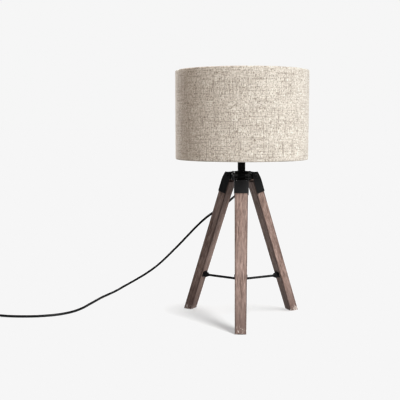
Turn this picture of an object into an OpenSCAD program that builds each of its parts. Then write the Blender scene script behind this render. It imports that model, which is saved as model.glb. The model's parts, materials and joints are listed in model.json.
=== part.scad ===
// Tripod table lamp: three wooden legs folding on a black metal hub, a Y-shaped
// spreader, a straight linen drum shade on an E27 lampholder, and a mains lead.
// Millimetres, +Z up, origin on the lamp's axis at table height.

/* [Shade] */
// Outer diameter of the drum shade
shade_d = 300; // [220:1:360]
// Height of the drum shade
shade_h = 198; // [150:1:260]
// Thickness of the linen
fabric_t = 0.7; // [0.5:0.1:1.5]
// Thickness of the stiff liner behind the linen
liner_t = 0.4; // [0.3:0.1:0.8]
// Diameter of the wire in the shade's rings and spokes
wire_d = 3.2; // [2:0.1:4]
// How far the fitter plate sits above the shade's lower edge
fitter_rise = 27; // [10:1:40]

/* [Lampholder and bulb] */
// Outer diameter of the lampholder's threaded shell
holder_d = 39; // [38:0.5:42]
// Length of the threaded shell above its flange
holder_len = 32; // [26:1:40]
// Height of the lampholder's cap
cap_h = 22; // [18:1:30]
// Diameter of the bulb's globe
bulb_d = 60; // [45:1:70]
// Whole length of the bulb
bulb_len = 110; // [98:1:130]
// Radius of the bulb's screw cap
bulb_cap_r = 13; // [12.5:0.1:13.2]

/* [Stem and hub] */
// Outer diameter of the stem
stem_d = 17.5; // [14:0.5:22]
// Length of the stem between hub and lampholder
stem_len = 30; // [20:1:60]
// Outer diameter of the threaded pipe
pipe_d = 10; // [9:0.5:12]
// Bore of the threaded pipe
pipe_bore = 8; // [7:0.5:8.5]
// Diameter of the hub's barrel
hub_d = 47; // [44:0.5:48]
// Diameter of the raised disc on the hub
hub_disc_d = 34; // [28:1:38]
// Width of each hub lug
lug_w = 16; // [12:0.5:20]

/* [Legs] */
// Height of the leg pivots above the table
pivot_z = 327.5; // [280:0.5:380]
// Distance of the leg pivots from the lamp's axis
pivot_r = 29; // [28:0.5:34]
// Angle of each leg from the vertical
splay = 19; // [15:0.5:23]
// Width of a leg at its top
leg_top_w = 30.5; // [29:0.5:33]
// Width of a leg at the table
leg_foot_w = 24.5; // [20:0.5:28]
// Thickness of a leg
leg_t = 20; // [17:0.5:24]
// Radius on the long edges of a leg
leg_edge_r = 1.6; // [0.5:0.1:3]
// Height of the felt pad under a leg
pad_h = 1.5; // [1:0.1:3]
// Diameter of the felt pad
pad_d = 17; // [12:0.5:19]

/* [Leg brackets] */
// Sheet thickness of the brackets
sheet_t = 1.2; // [0.8:0.1:1.6]
// Length of a bracket below its pivot
bracket_len = 41; // [32:1:60]
// Distance of the bracket's face plate below the pivot
web_drop = 12; // [11:0.5:16]
// Radius of the ears round the pivot
ear_r = 9; // [7.5:0.1:9.5]
// How far the ears narrow towards their top outer corner
ear_taper = 4; // [0:0.5:5]
// Radius of the pivot bolts
bolt_r = 2.5; // [2:0.1:3]

/* [Spreader] */
// Height of the spreader above the table
brace_z = 88; // [70:1:130]
// Diameter of the spreader's rods
rod_d = 5; // [3.4:0.1:5.4]
// Distance of the clevis pin from the leg's inner face
clevis_reach = 6.5; // [6:0.1:9]
// Distance of the centre pins from the lamp's axis
boss_pin_r = 12; // [12:0.5:15]
// Tilt of the rods at the end of the fold, in degrees
rod_tilt = 50; // [30:1:50]

/* [Mains lead] */
// Diameter of the round mains lead
cord_d = 6; // [5:0.1:7]
// Mean radius of the stored coil
coil_r = 33; // [30:1:40]
// Length of the in-line switch
switch_len = 58; // [50:1:70]
// Length of the plug's body
plug_len = 36; // [30:1:42]

/* [Hidden] */

black = [0.09, 0.09, 0.10];
steel = [0.62, 0.62, 0.64];
brass = [0.78, 0.62, 0.32];
wood = [0.47, 0.38, 0.32];
linen = [0.76, 0.70, 0.61];
felt = [0.22, 0.20, 0.19];
white = [0.93, 0.92, 0.88];

run_c = 0.05;    // radial clearance of a pin that turns in its bore
slip_c = 0.1;    // clearance between pieces that slide past or lie against each other
seat_c = 0.2;    // clearance round a piece that drops into another
round_fn = 64;
small_fn = 32;

FRONT = -90;
RIGHT = 30;
LEFT = 150;
AZIMUTHS = [FRONT, RIGHT, LEFT];

// Hub: the lugs' height follows the ears, the barrel stands between them
lug_r = ear_r - 0.6;
hub_low = pivot_z - lug_r - 1;
barrel_top = pivot_z + 6.5;
hub_top = barrel_top + 4;
nut_h = 5;
nut_af = 16;
nut_t = 3.4;

// Lampholder stack on top of the stem
cap_z = hub_top + stem_len;
flange_z = cap_z + cap_h;
flange_t = 2;
fitter_z = flange_z + flange_t;
fitter_t = 1.5;
ring_h = 6;
holder_r = holder_d / 2;
holder_wall = 1.7;
insert_h = 6;
bulb_z = fitter_z + insert_h + 1;
bulb_cap_h = 24;
glass_t = 1;

shade_z = fitter_z - fitter_rise;
shade_r = shade_d / 2;
liner_r = shade_r - fabric_t - 0.05;
wire_r = wire_d / 2;
hoop_r = liner_r - liner_t - wire_r - 0.05;
hoop_inset = wire_r + 0.6;

// Legs: the foot lies where the centre line meets the table
leg_top_gap = web_drop + 1;
leg_run = pivot_z / cos(splay);
ear_in = leg_top_w / 2 + slip_c;
ear_out = ear_in + sheet_t;
face_in = leg_t / 2 + slip_c;
face_out = face_in + sheet_t;
ear_top_x = face_out - ear_taper;
bend_r = 1.8;
head_h = 2.6;
head_r = bolt_r + 2;
screw_r = 1.2;
screw_len = 9;
saw_depth = 100;
dot_gap = 5.2;

// Spreader: the clevis pin in the leg's own frame and from the lamp's axis
pin_x = -(leg_t / 2 + clevis_reach);
pin_z = (brace_z - pivot_z - pin_x * sin(splay)) / cos(splay);
pin_r0 = pivot_r + pin_x * cos(splay) - pin_z * sin(splay);
arm_len = pin_r0 - boss_pin_r;
eye_r = rod_d / 2 + 0.9;
eye_t = 3.4;
clevis_pin_r = 1.5;
arm_pin_r = 1.25;
clevis_gap = eye_t / 2 + seat_c;
clevis_ear_t = 2;
clevis_ear_r = 5.4;
clevis_plate_t = 1.6;
clevis_plate_w = 16;
clevis_plate_h = 14;
clevis_screw_y = 6.1;
boss_ear_t = 1.8;
// Half way through the fold the rods' ends lie this far inside and above their places at rest
slot_in = arm_len * (cos(rod_tilt / 2) - (1 + cos(rod_tilt)) / 2);
slot_up = arm_len * (sin(rod_tilt / 2) - sin(rod_tilt) / 2);
slot_r = arm_pin_r + 0.9;
boss_rim = 1.5;
boss_cap_t = 2.4;
boss_reach = boss_pin_r + slot_r + boss_rim;
// The rods are flat where they run between the clevis ears and between the cheeks
clevis_neck = clevis_ear_r + 1.6;
boss_neck = (slot_in + slot_r + boss_rim) / cos(rod_tilt / 2) + rod_d / 2;

// Mains lead, from the hub's underside down to the table and out to the switch
cord_r = cord_d / 2;
tube_sides = 8;
lead_steps = 2;
LEAD = [[0, 0, 313], [0, 0, 308], [-0.5, 1, 302], [-1.5, 3.5, 295.5], [-3.5, 7.5, 290], [-6.5, 14, 285.5],
  [-10, 22, 282], [-15, 32, 278], [-20, 42, 273], [-26, 52, 266.5], [-33, 62, 259], [-42, 72, 250.5], [-52, 81, 242],
  [-73, 93, 228], [-92, 104, 212], [-107, 114, 197], [-120, 123, 183], [-137, 136, 164],
  [-153, 148, 146], [-170, 158, 128], [-186, 168, 111], [-203, 177, 94], [-222, 185, 77],
  [-246, 193, 59], [-274, 199, 41], [-303, 201, 24], [-328, 197, 10], [-346, 181, 4], [-356, 155, 3],
  [-364, 120, 3], [-373, 80, 3], [-382, 42, 3], [-398, 8, 3], [-424, -18, 3], [-460, -34, 3],
  [-500, -40, 3], [-540, -40, 3.5], [-566, -38, 5], [-590, -36, 6]];
relief_points = 4;
relief_r = 6.5;
switch_x = -590;
switch_y = -36;
switch_w = 26;
switch_h = 17;
switch_wall = 2;
switch_split = 9;
cord_in_z = 6;
switch_end = switch_x - switch_len;
link_len = 45;
coil_x = switch_end - link_len;
coil_y = 0;
coil_lift = 1;
coil_w = 2 * cord_d;
coil_h = 2 * cord_d;
LINK = [[switch_end, switch_y, cord_in_z], [switch_end - link_len / 3, switch_y, 5],
  [switch_end - link_len * 2 / 3, switch_y, 4], [coil_x, switch_y, 4]];
turn_r = 26;
end_y = coil_y + coil_r + cord_r;
end_z = coil_lift + 3 * cord_r;
plug_x = coil_x + turn_r;
plug_y = end_y + turn_r + 10;
plug_z = 7;
plug_w = 35;
plug_t = 13.6;
prong_r = 2;
prong_len = 19;
prong_gap = 19;
END = concat([for (a = [0:30:90]) [coil_x + turn_r * sin(a), end_y + turn_r * (1 - cos(a)),
  plug_z + (end_z - plug_z) * (1 + cos(2 * a)) / 2]],
  [[plug_x, plug_y - 5, plug_z], [plug_x, plug_y - slip_c, plug_z]]);
rocker_axis_x = switch_x - switch_len / 2;
rocker_axis_z = 13;
rocker_len = 18;
rocker_w = 9.6;
rocker_tilt = 6;
rocker_pin_r = 1.5;

// ---------- shared shapes ----------

// Rectangle with rounded corners, centred
module rounded_rect(w, h, r) {
  square([w - 2 * r, h], center = true);
  square([w, h - 2 * r], center = true);
  for (sx = [-1, 1], sy = [-1, 1])
    translate([sx * (w / 2 - r), sy * (h / 2 - r)]) circle(r = r, $fn = small_fn);
}

// Places a piece in the frame of one leg: X outward, Z up along the leg, origin on the pivot
module on_leg(azimuth) {
  rotate([0, 0, azimuth]) translate([pivot_r, 0, pivot_z]) rotate([0, -splay, 0]) children();
}

// Places a piece in the frame of one rod: X outward, origin on the centre pin
module on_arm(azimuth) {
  rotate([0, 0, azimuth]) translate([boss_pin_r, 0, brace_z]) children();
}

// A cylinder along Y, centred
module cross_pin(r, len, sides = small_fn) {
  rotate([90, 0, 0]) cylinder(r = r, h = len, center = true, $fn = sides);
}

module tube(ro, ri, h) {
  difference() {
    cylinder(r = ro, h = h, $fn = round_fn);
    translate([0, 0, -1]) cylinder(r = ri, h = h + 2, $fn = round_fn);
  }
}

module hoop(ring_r, r) {
  rotate_extrude($fn = 96) translate([ring_r, 0]) circle(r = r, $fn = 24);
}

// ---------- swept lead ----------

function unit(v) = v / norm(v);
// Point on a smooth curve through four neighbours
function through(a, b, c, d, t) = 0.5 * (2 * b + (c - a) * t + (2 * a - 5 * b + 4 * c - d) * t * t
  + (3 * b - a - 3 * c + d) * t * t * t);
function smooth(route, steps) = let (last = len(route) - 1) concat(
  [for (i = [0:last - 1], s = [0:steps - 1])
    through(route[max(i - 1, 0)], route[i], route[i + 1], route[min(i + 2, last)], s / steps)],
  [route[last]]);
function heading(line, i) = unit(line[min(i + 1, len(line) - 1)] - line[max(i - 1, 0)]);
// Side direction of a ring: level, square to the lead, the way the lead first bends
function sideways(dir) = norm(cross(dir, [0, 0, 1])) > 0.05 ? unit(cross(dir, [0, 0, 1])) : unit([2, 1, 0]);
function ring(centre, dir, r) = let (side = sideways(dir), up = cross(side, dir))
  [for (k = [0:tube_sides - 1]) centre + r * (cos(360 * k / tube_sides) * side + sin(360 * k / tube_sides) * up)];

// Tube along a line of points, its radius running from r0 to r1
module swept(line, r0, r1) {
  last = len(line) - 1;
  points = [for (i = [0:last]) each ring(line[i], heading(line, i), r0 + (r1 - r0) * i / last)];
  caps = [[for (k = [0:tube_sides - 1]) k],
    [for (k = [tube_sides - 1:-1:0]) last * tube_sides + k]];
  sides = [for (i = [0:last - 1], k = [0:tube_sides - 1])
    let (a = i * tube_sides + k, b = i * tube_sides + (k + 1) % tube_sides)
    [a, a + tube_sides, b + tube_sides, b]];
  polyhedron(points = points, faces = concat(caps, sides), convexity = 10);
}

// ---------- hub, stem and pipe ----------

module hub() color(black) difference() {
  union() {
    // Barrel with a rounded shoulder and the raised disc on it
    rotate_extrude($fn = 96) polygon(concat(
      [[0, hub_low], [hub_d / 2 - 1.5, hub_low], [hub_d / 2, hub_low + 1.5], [hub_d / 2, barrel_top - 3]],
      [for (a = [15:15:90]) [hub_d / 2 - 3 + 3 * cos(a), barrel_top - 3 + 3 * sin(a)]],
      [[hub_disc_d / 2, barrel_top], [hub_disc_d / 2, hub_top - 2]],
      [for (a = [30:30:90]) [hub_disc_d / 2 - 2 + 2 * cos(a), hub_top - 2 + 2 * sin(a)]],
      [[0, hub_top]]));
    for (az = AZIMUTHS) rotate([0, 0, az]) hub_lug();
  }
  translate([0, 0, hub_low - 1]) cylinder(r = pipe_d / 2 + run_c, h = hub_top - hub_low + 2, $fn = round_fn);
  for (az = AZIMUTHS) rotate([0, 0, az]) translate([pivot_r, 0, pivot_z])
    cross_pin(bolt_r + run_c, lug_w + 2, round_fn);
}

// One lug: a tongue from the barrel, rounded about the pivot, with a stiffening web on top
module hub_lug() {
  translate([pivot_r, 0, pivot_z]) cross_pin(lug_r, lug_w, round_fn);
  translate([hub_d / 4, -lug_w / 2, pivot_z - lug_r]) cube([pivot_r - hub_d / 4, lug_w, 2 * lug_r - 2]);
}

module stem() color(black) translate([0, 0, hub_top]) tube(stem_d / 2, pipe_d / 2 + slip_c, stem_len);

module pipe() color(steel) translate([0, 0, hub_low - nut_h])
  tube(pipe_d / 2, pipe_bore / 2, cap_z + 8 - hub_low + nut_h);

// Hexagon nut under the hub and the jam nut inside the lampholder's cap
module hub_nuts() color(steel) for (z = [hub_low - nut_h + 0.5, cap_z + 2.2])
  translate([0, 0, z]) difference() {
    intersection() {
      cylinder(r = nut_af / 2 / cos(30), h = nut_h - 0.5, $fn = 6);
      translate([0, 0, -0.4]) cylinder(r1 = nut_af / 2 + 0.2, r2 = nut_af / 2 + 4, h = nut_h + 1, $fn = round_fn);
    }
    translate([0, 0, -1]) cylinder(r = pipe_d / 2 + run_c, h = nut_h + 2, $fn = round_fn);
  }

// ---------- pivots ----------

module pivot_bolt(azimuth) color(black) on_leg(azimuth) {
  // Shank through ears, spacers and lug, with a round head outside the ear
  shank = 2 * ear_out + slip_c + nut_t;
  translate([0, -ear_out - slip_c + shank / 2, 0]) cross_pin(bolt_r, shank);
  translate([0, -ear_out - slip_c, 0]) rotate([90, 0, 0]) rotate_extrude($fn = small_fn)
    polygon(concat([[0, 0]], [for (a = [0:15:90]) [head_r * cos(a), head_h * sin(a)]]));
}

module pivot_nuts() color(black) for (az = AZIMUTHS) on_leg(az)
  translate([0, ear_out + slip_c + nut_t / 2, 0]) difference() {
    rotate([90, 0, 0]) cylinder(r = head_r, h = nut_t, center = true, $fn = 6);
    cross_pin(bolt_r + run_c, nut_t + 2);
  }

module pivot_spacers() color(black) for (az = AZIMUTHS, side = [-1, 1]) on_leg(az)
  translate([0, side * (lug_w / 2 + ear_in) / 2, 0]) difference() {
    cross_pin(bolt_r + 2, ear_in - lug_w / 2 - 2 * slip_c);
    cross_pin(bolt_r + run_c, ear_in);
  }

// ---------- legs ----------

module leg(azimuth) color(wood) difference() {
  on_leg(azimuth) difference() {
    hull() {
      translate([0, 0, -leg_top_gap - 0.1]) linear_extrude(height = 0.1)
        leg_section(leg_width(leg_top_gap));
      translate([0, 0, -leg_run - leg_t]) linear_extrude(height = 0.1)
        leg_section(leg_width(leg_run + leg_t));
    }
    screw_places() cylinder(r = screw_r + run_c, h = screw_len + 1, $fn = small_fn);
  }
  // Level cut at the foot
  translate([0, 0, pad_h - saw_depth]) cylinder(r = 2 * leg_run, h = saw_depth, $fn = 8);
}
function leg_width(run) = leg_top_w + (leg_foot_w - leg_top_w) * (run - leg_top_gap) / (leg_run - leg_top_gap);
module leg_section(w) rounded_rect(leg_t, w, leg_edge_r, $fn = 16);

// The screws' places, each with +Z pointing into the wood from the metal's face
module screw_places() {
  for (y = [-dot_gap / 2, dot_gap / 2]) translate([face_out, y, -web_drop - 4.5]) rotate([0, -90, 0]) children();
  for (y = [-clevis_screw_y, clevis_screw_y])
    translate([-leg_t / 2 - slip_c - clevis_plate_t, y, pin_z]) rotate([0, 90, 0]) children();
}

module screws(azimuth) color(black) on_leg(azimuth) screw_places() {
  cylinder(r = screw_r, h = screw_len, $fn = small_fn);
  rotate([180, 0, 0]) cylinder(r1 = screw_r + 0.6, r2 = screw_r + 0.2, h = 0.7, $fn = small_fn);
}

module pad(azimuth) color(felt) rotate([0, 0, azimuth])
  translate([pivot_r + pivot_z * tan(splay), 0, 0]) cylinder(d = pad_d, h = pad_h, $fn = small_fn);

// Pressed channel that wraps the leg's outer face and sides, with ears round the pivot
module bracket(azimuth) color(black) on_leg(azimuth) difference() {
  intersection() {
    rotate([90, 0, 0]) linear_extrude(height = 2 * ear_out + 2, center = true) bracket_side();
    translate([0, 0, -bracket_len - 1]) linear_extrude(height = bracket_len + 2 * ear_r) bracket_plan();
  }
  // Room for the leg, and the open window between the ears above the face plate
  translate([-ear_r - 1, -ear_in, -bracket_len - 1]) cube([ear_r + 1 + face_in, 2 * ear_in, bracket_len + 1]);
  translate([-ear_r - 1, -ear_in, -web_drop]) cube([ear_r + 2 + face_out, 2 * ear_in, web_drop + 2 * ear_r]);
  cross_pin(bolt_r + run_c, 2 * ear_out + 2, round_fn);
  screw_places() translate([0, 0, -1]) cylinder(r = screw_r + run_c, h = screw_len + 1, $fn = small_fn);
}

// Side of the bracket: straight edges, round about the pivot, level top when the leg is open
module bracket_side() polygon(concat(
  [for (i = [0:10]) let (a = 180 - (90 + splay) * i / 10) ear_r * [cos(a), sin(a)]],
  [[ear_top_x, (ear_r - ear_top_x * sin(splay)) / cos(splay)], [face_out, -web_drop], [face_out, -bracket_len],
  [-ear_r, -bracket_len]]));

// Outline of the channel seen along the leg, bent round at its two outer edges
module bracket_plan() polygon(concat([[-ear_r - 1, -ear_out]],
  [for (a = [-90:22.5:0]) [face_out - bend_r + bend_r * cos(a), -ear_out + bend_r + bend_r * sin(a)]],
  [for (a = [0:22.5:90]) [face_out - bend_r + bend_r * cos(a), ear_out - bend_r + bend_r * sin(a)]],
  [[-ear_r - 1, ear_out]]));

// ---------- spreader ----------

module clevis(azimuth) color(black) on_leg(azimuth) translate([0, 0, pin_z]) difference() {
  union() {
    translate([-leg_t / 2 - slip_c - clevis_plate_t, 0, 0]) rotate([0, 90, 0])
      linear_extrude(height = clevis_plate_t) rounded_rect(clevis_plate_h, clevis_plate_w, 2);
    for (side = [-1, 1]) translate([0, side * (clevis_gap + clevis_ear_t / 2), 0]) {
      translate([pin_x, 0, 0]) cross_pin(clevis_ear_r, clevis_ear_t, round_fn);
      translate([pin_x, -clevis_ear_t / 2, -clevis_ear_r])
        cube([clevis_reach - slip_c - clevis_plate_t / 2, clevis_ear_t, 2 * clevis_ear_r]);
    }
  }
  translate([pin_x, 0, 0]) cross_pin(clevis_pin_r + run_c, 20, round_fn);
  for (y = [-clevis_screw_y, clevis_screw_y])
    translate([-leg_t / 2 - 5, y, 0]) rotate([0, 90, 0]) cylinder(r = screw_r + run_c, h = 10, $fn = small_fn);
}

module clevis_pin(azimuth) color(black) on_leg(azimuth) translate([pin_x, 0, pin_z]) {
  reach = clevis_gap + clevis_ear_t + slip_c;
  cross_pin(clevis_pin_r, 2 * reach, round_fn);
  for (side = [-1, 1]) translate([0, side * (reach + 0.4), 0]) cross_pin(clevis_pin_r + 0.9, 0.8, round_fn);
}

// Round rod with a flattened, drilled eye at each end
module arm(azimuth) color(black) on_arm(azimuth) difference() {
  union() {
    translate([boss_neck, 0, 0]) rotate([0, 90, 0])
      cylinder(d = rod_d, h = arm_len - boss_neck - clevis_neck, $fn = small_fn);
    for (x = [0, arm_len]) translate([x, 0, 0]) cross_pin(eye_r, eye_t, round_fn);
    translate([0, -eye_t / 2, -rod_d / 2]) cube([arm_len, eye_t, rod_d]);
  }
  cross_pin(arm_pin_r + 0.02, eye_t + 2, round_fn);
  translate([arm_len, 0, 0]) cross_pin(clevis_pin_r + run_c, eye_t + 2, round_fn);
}

module arm_pin(azimuth) color(black) on_arm(azimuth)
  cross_pin(arm_pin_r, 2 * (eye_t / 2 + seat_c + boss_ear_t + 0.3), round_fn);

// Centre piece: three pairs of slotted cheeks under a three-armed cap
module brace_boss() color(black) for (az = AZIMUTHS) on_arm(az) {
  cheek_in = eye_t / 2 + seat_c;
  high = slot_up + eye_r + 0.6;
  for (side = [-1, 1]) translate([0, side * (cheek_in + boss_ear_t / 2), 0]) rotate([90, 0, 0])
    linear_extrude(height = boss_ear_t, center = true) difference() {
      boss_cheek(high);
      fold_slot();
    }
  translate([-boss_pin_r, -cheek_in - boss_ear_t, high]) cube([boss_reach, 2 * (cheek_in + boss_ear_t), boss_cap_t]);
}

// Cheek seen from the side, its lower outer corner rounded about the pin
module boss_cheek(high) {
  inner = (eye_t / 2 + seat_c) * 0.6;
  translate([-boss_pin_r + inner, -slot_r - boss_rim]) square([boss_pin_r - inner, slot_r + boss_rim + high + 0.1]);
  square([slot_r + boss_rim, high + 0.1]);
  circle(r = slot_r + boss_rim, $fn = small_fn);
}

// Slanted slot that the rod's pin wanders along while the legs fold
module fold_slot() {
  circle(r = slot_r, $fn = small_fn);
  translate([-slot_in, slot_up]) circle(r = slot_r, $fn = small_fn);
  rotate(-atan2(slot_up, slot_in)) translate([-norm([slot_in, slot_up]), -slot_r])
    square([norm([slot_in, slot_up]), 2 * slot_r]);
}

// ---------- lampholder ----------

module holder_cap() color(black) translate([0, 0, cap_z]) difference() {
  rotate_extrude($fn = 96) polygon(cap_profile(0));
  rotate_extrude($fn = 96) polygon(cap_profile(1.8));
  translate([0, 0, -1]) cylinder(r = pipe_d / 2 + run_c, h = 10, $fn = round_fn);
}
// Outline of the cap, or of its hollow when inset by a wall
function cap_profile(wall) = let (r0 = stem_d / 2 + 2 - wall, r1 = holder_r + 1.5 - wall, low = wall)
  concat([[0, low], [r0, low]],
    [for (a = [-60:30:0]) [r1 - 4 + 4 * cos(a), cap_h / 2 + 4 * sin(a)]],
    [[r1, wall > 0 ? cap_h + 1 : cap_h], [0, wall > 0 ? cap_h + 1 : cap_h]]);

module holder_shell() color(black) translate([0, 0, flange_z]) {
  tube(holder_r + 3, holder_r - holder_wall, flange_t);
  tube(holder_r, holder_r - holder_wall, flange_t + holder_len);
}

module holder_insert() color(white) translate([0, 0, flange_z]) difference() {
  cylinder(r = holder_r - holder_wall - slip_c, h = flange_t + insert_h, $fn = round_fn);
  for (x = [-9, 9]) translate([x, 0, -1]) cylinder(r = 2, h = 4, $fn = small_fn);
}

// Screw shell and centre tongue that the bulb touches
module holder_contacts() color(brass) translate([0, 0, fitter_z + insert_h]) {
  tube(bulb_cap_r + 0.9, bulb_cap_r + 0.4, holder_len - insert_h - 4);
  cylinder(r = 3, h = 0.6, $fn = small_fn);
}

// Ribbed ring that clamps the shade's fitter plate to the flange
module shade_ring() color(black) translate([0, 0, fitter_z + fitter_t]) difference() {
  cylinder(r = holder_r + 5, h = ring_h, $fn = 96);
  translate([0, 0, -1]) cylinder(r = holder_r + slip_c, h = ring_h + 2, $fn = round_fn);
  for (a = [0:20:340]) rotate([0, 0, a]) translate([holder_r + 5.8, 0, 1.5]) cylinder(r = 1.6, h = ring_h, $fn = 16);
}

// ---------- shade ----------

module shade_spider() color(white) {
  translate([0, 0, fitter_z]) tube(holder_r + 8, holder_r + seat_c, fitter_t);
  translate([0, 0, shade_z + hoop_inset]) hoop(hoop_r, wire_r);
  drop = fitter_rise - hoop_inset - wire_r + 0.2;
  span = hoop_r - holder_r - 7;
  for (az = AZIMUTHS) rotate([0, 0, az + 60]) translate([holder_r + 7, 0, fitter_z - wire_r + 0.2])
    rotate([0, 90 + atan2(drop, span), 0]) cylinder(r = wire_r, h = norm([drop, span]), $fn = 24);
}

module shade_top_wire() color(white)
  translate([0, 0, shade_z + shade_h - hoop_inset]) hoop(hoop_r, wire_r);

module shade_liner() color(white)
  translate([0, 0, shade_z + 0.5]) tube_wide(liner_r, liner_r - liner_t, shade_h - 1);

module shade_fabric() color(linen) translate([0, 0, shade_z]) tube_wide(shade_r, shade_r - fabric_t, shade_h);

module tube_wide(ro, ri, h) difference() {
  cylinder(r = ro, h = h, $fn = 128);
  translate([0, 0, -1]) cylinder(r = ri, h = h + 2, $fn = 128);
}

// ---------- bulb ----------

function bulb_profile(wall) = let (r = bulb_d / 2 - wall, neck_r = bulb_cap_r + 1.5 - wall,
    low = bulb_cap_h - 1 + wall, mid = bulb_len - bulb_d / 2)
  concat([[0, low], [neck_r, low], [neck_r + 1, low + 6]],
    [for (a = [-40:20:80]) [r * cos(a), mid + r * sin(a)]], [[0, mid + r]]);

module bulb_glass() color(white) translate([0, 0, bulb_z]) difference() {
  rotate_extrude($fn = 64) polygon(bulb_profile(0));
  rotate_extrude($fn = 64) polygon(bulb_profile(glass_t));
}

module bulb_cap() color(steel) translate([0, 0, bulb_z]) rotate_extrude($fn = 64)
  polygon([[0, 0.2], [4, 0.2], [5, 2], [bulb_cap_r - 1, 4], [bulb_cap_r, 5], [bulb_cap_r, bulb_cap_h - 1.2],
    [0, bulb_cap_h - 1.2]]);

// ---------- mains lead ----------

module strain_relief() color(black)
  swept(smooth([for (i = [0:relief_points]) LEAD[i]], lead_steps), relief_r, cord_r + 0.7);

module cord_lead() color(black)
  swept(smooth([for (i = [relief_points:len(LEAD) - 1]) LEAD[i]], lead_steps), cord_r, cord_r);

module cord_link() color(black) swept(smooth(LINK, lead_steps), cord_r, cord_r);

module cord_end() color(black) swept(smooth(END, lead_steps), cord_r, cord_r);

module cord_coil() color(black) translate([coil_x, coil_y, coil_lift]) rotate_extrude($fn = 64)
  translate([coil_r, coil_h / 2]) rounded_rect(coil_w, coil_h, cord_r);

// Strap closed round the coil's winding
module cord_tie() color(black) translate([coil_x - coil_r, coil_y, coil_lift + coil_h / 2]) rotate([90, 0, 0])
  linear_extrude(height = 7, center = true) difference() {
    rounded_rect(coil_w + 2, coil_h + 2, cord_r + 1);
    rounded_rect(coil_w + 2 * 0.4, coil_h + 2 * 0.4, cord_r + 0.4);
  }

// ---------- in-line switch ----------

module switch_outline(inset) rounded_rect(switch_len - 2 * inset, switch_w - 2 * inset, 6 - inset);

module switch_base() color(black) translate([rocker_axis_x, switch_y, 0]) difference() {
  linear_extrude(height = switch_split) switch_outline(0);
  translate([0, 0, switch_wall]) linear_extrude(height = switch_split) switch_outline(switch_wall);
  translate([0, 0, cord_in_z]) rotate([0, 90, 0])
    cylinder(r = cord_r + slip_c, h = switch_len + 2, center = true, $fn = small_fn);
  translate([-switch_len, -cord_r - slip_c, cord_in_z]) cube([2 * switch_len, cord_d + 2 * slip_c, switch_h]);
}

module switch_cover() color(black) translate([rocker_axis_x, switch_y, 0]) difference() {
  union() {
    translate([0, 0, switch_split]) linear_extrude(height = switch_h - switch_split - 1.5) switch_outline(0);
    translate([0, 0, switch_split]) linear_extrude(height = switch_h - switch_split) switch_outline(1.5);
  }
  translate([0, 0, switch_split - 1]) linear_extrude(height = switch_h - switch_split - switch_wall + 1)
    difference() {
      switch_outline(switch_wall);
      // Bearing blocks either side of the rocker
      for (side = [-1, 1]) translate([0, side * (rocker_w / 2 + 0.3 + 2)]) square([8, 4], center = true);
    }
  translate([-rocker_len / 2 - 0.8, -rocker_w / 2 - 0.3, 0]) cube([rocker_len + 1.6, rocker_w + 0.6, 30]);
  translate([0, 0, rocker_axis_z]) cross_pin(rocker_pin_r + run_c, rocker_w + 6, round_fn);
}

// Rocker: two faces meeting in a shallow valley, with stub axles
module switch_rocker() color(black) translate([rocker_axis_x, switch_y, rocker_axis_z]) rotate([0, rocker_tilt, 0]) {
  rotate([90, 0, 0]) linear_extrude(height = rocker_w, center = true)
    polygon([[-rocker_len / 2, 5.6], [0, 4.6], [rocker_len / 2, 5.6], [rocker_len / 2 - 0.6, 1], [3, -2.6], [-3, -2.6],
      [-rocker_len / 2 + 0.6, 1]]);
  cross_pin(rocker_pin_r, rocker_w + 5, round_fn);
}

// ---------- plug ----------

// Half outline of the plug along its length: at the lead, along the grip and at the pins' face
function plug_outline(lead, grip, face) = [[-lead, 0], [lead, 0], [grip, plug_len * 0.4], [face, plug_len * 0.78],
  [face, plug_len], [-face, plug_len], [-face, plug_len * 0.78], [-grip, plug_len * 0.4]];

// Flat two-pin body: waisted grip, wide face towards the pins
module plug_body() color(black) translate([plug_x, plug_y, plug_z]) rotate([-90, 0, 0]) intersection() {
  linear_extrude(height = plug_len) rounded_rect(plug_w, plug_t, 5);
  rotate([90, 0, 90]) linear_extrude(height = plug_w + 2, center = true)
    polygon(plug_outline(cord_r + 1.5, plug_t / 2 - 0.6, plug_t / 2));
  rotate([90, 0, 0]) linear_extrude(height = plug_t + 2, center = true)
    polygon(plug_outline(cord_r + 2, plug_w / 2 - 5, plug_w / 2));
}

module plug_pins() color(steel) for (side = [-1, 1])
  translate([plug_x + side * prong_gap / 2, plug_y + plug_len, plug_z]) rotate([-90, 0, 0]) {
    cylinder(r = prong_r, h = prong_len - 1.5, $fn = small_fn);
    translate([0, 0, prong_len - 1.5]) cylinder(r1 = prong_r, r2 = prong_r - 0.8, h = 1.5, $fn = small_fn);
  }

hub();
stem();
pipe();
hub_nuts();
pivot_spacers();
pivot_nuts();
pivot_bolt(FRONT);  // pivot_bolt_front
pivot_bolt(RIGHT);  // pivot_bolt_right
pivot_bolt(LEFT);  // pivot_bolt_left
holder_cap();
holder_shell();
holder_insert();
holder_contacts();
shade_ring();
shade_spider();
shade_top_wire();
shade_liner();
shade_fabric();
bulb_glass();
bulb_cap();
leg(FRONT);  // leg_front
leg(RIGHT);  // leg_right
leg(LEFT);  // leg_left
bracket(FRONT);  // bracket_front
bracket(RIGHT);  // bracket_right
bracket(LEFT);  // bracket_left
screws(FRONT);  // screws_front
screws(RIGHT);  // screws_right
screws(LEFT);  // screws_left
clevis(FRONT);  // clevis_front
clevis(RIGHT);  // clevis_right
clevis(LEFT);  // clevis_left
clevis_pin(FRONT);  // clevis_pin_front
clevis_pin(RIGHT);  // clevis_pin_right
clevis_pin(LEFT);  // clevis_pin_left
pad(FRONT);  // pad_front
pad(RIGHT);  // pad_right
pad(LEFT);  // pad_left
arm(FRONT);  // arm_front
arm(RIGHT);  // arm_right
arm(LEFT);  // arm_left
arm_pin(FRONT);  // arm_pin_front
arm_pin(RIGHT);  // arm_pin_right
arm_pin(LEFT);  // arm_pin_left
brace_boss();
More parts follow.
